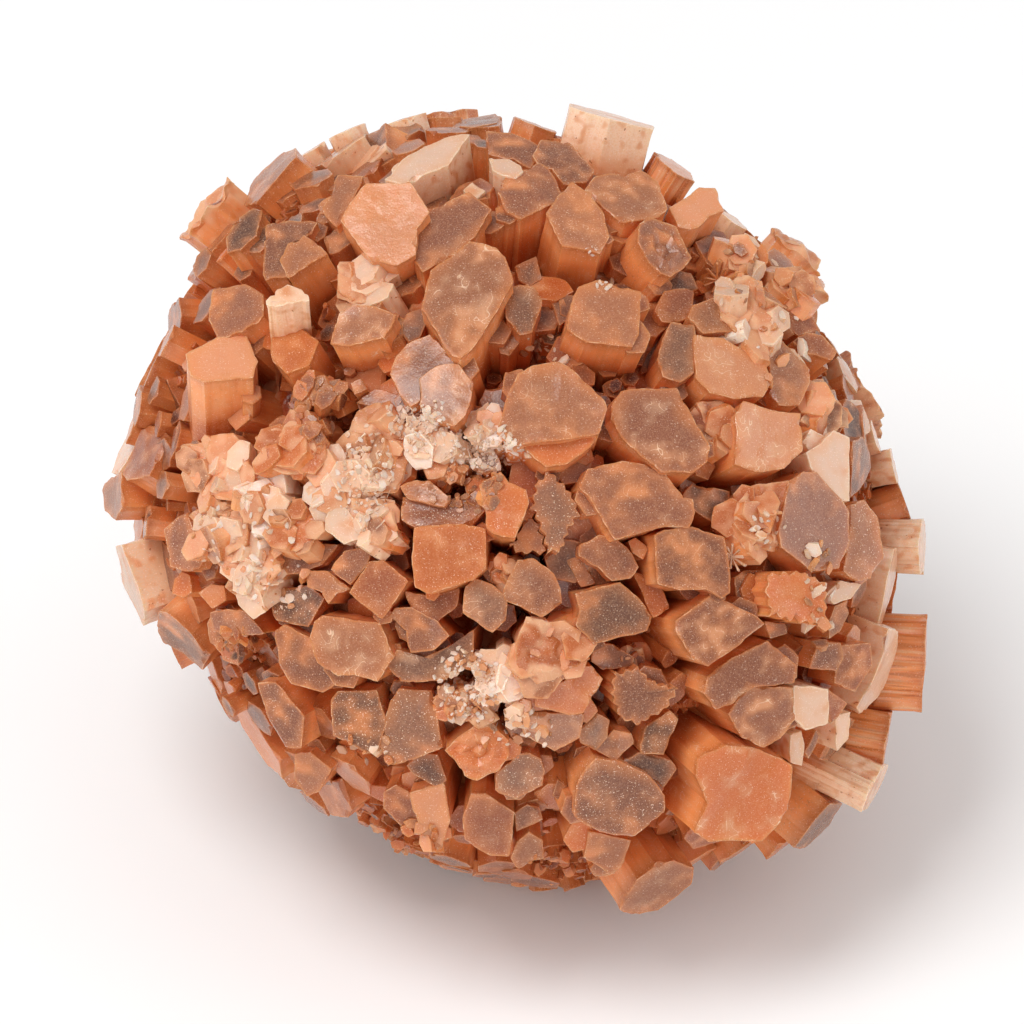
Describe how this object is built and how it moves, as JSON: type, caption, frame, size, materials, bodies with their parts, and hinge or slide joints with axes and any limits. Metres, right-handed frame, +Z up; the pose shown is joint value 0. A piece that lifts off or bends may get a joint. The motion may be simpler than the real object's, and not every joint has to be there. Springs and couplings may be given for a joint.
{
  "type": "mineral specimen, aragonite sputnik cluster",
  "caption": "Aragonite sputnik cluster: orange-brown to mauve six-sided crystals radiating in all directions from one point, intergrown into a ball.",
  "frame": {"origin": "middle of the flat resting spot, on the resting plane, below the point the crystals grow from", "axes": "+Z up from the resting plane; +X to the right across the best side; -Y toward the viewer of the best side, which looks 40 degrees above the horizon"},
  "size_m": [0.0946, 0.0874, 0.0878],
  "materials": {
    "aragonite": "satin"
  },
  "bodies": {
    "root": {"aragonite_cluster": "aragonite"}
  },
  "joints": []
}
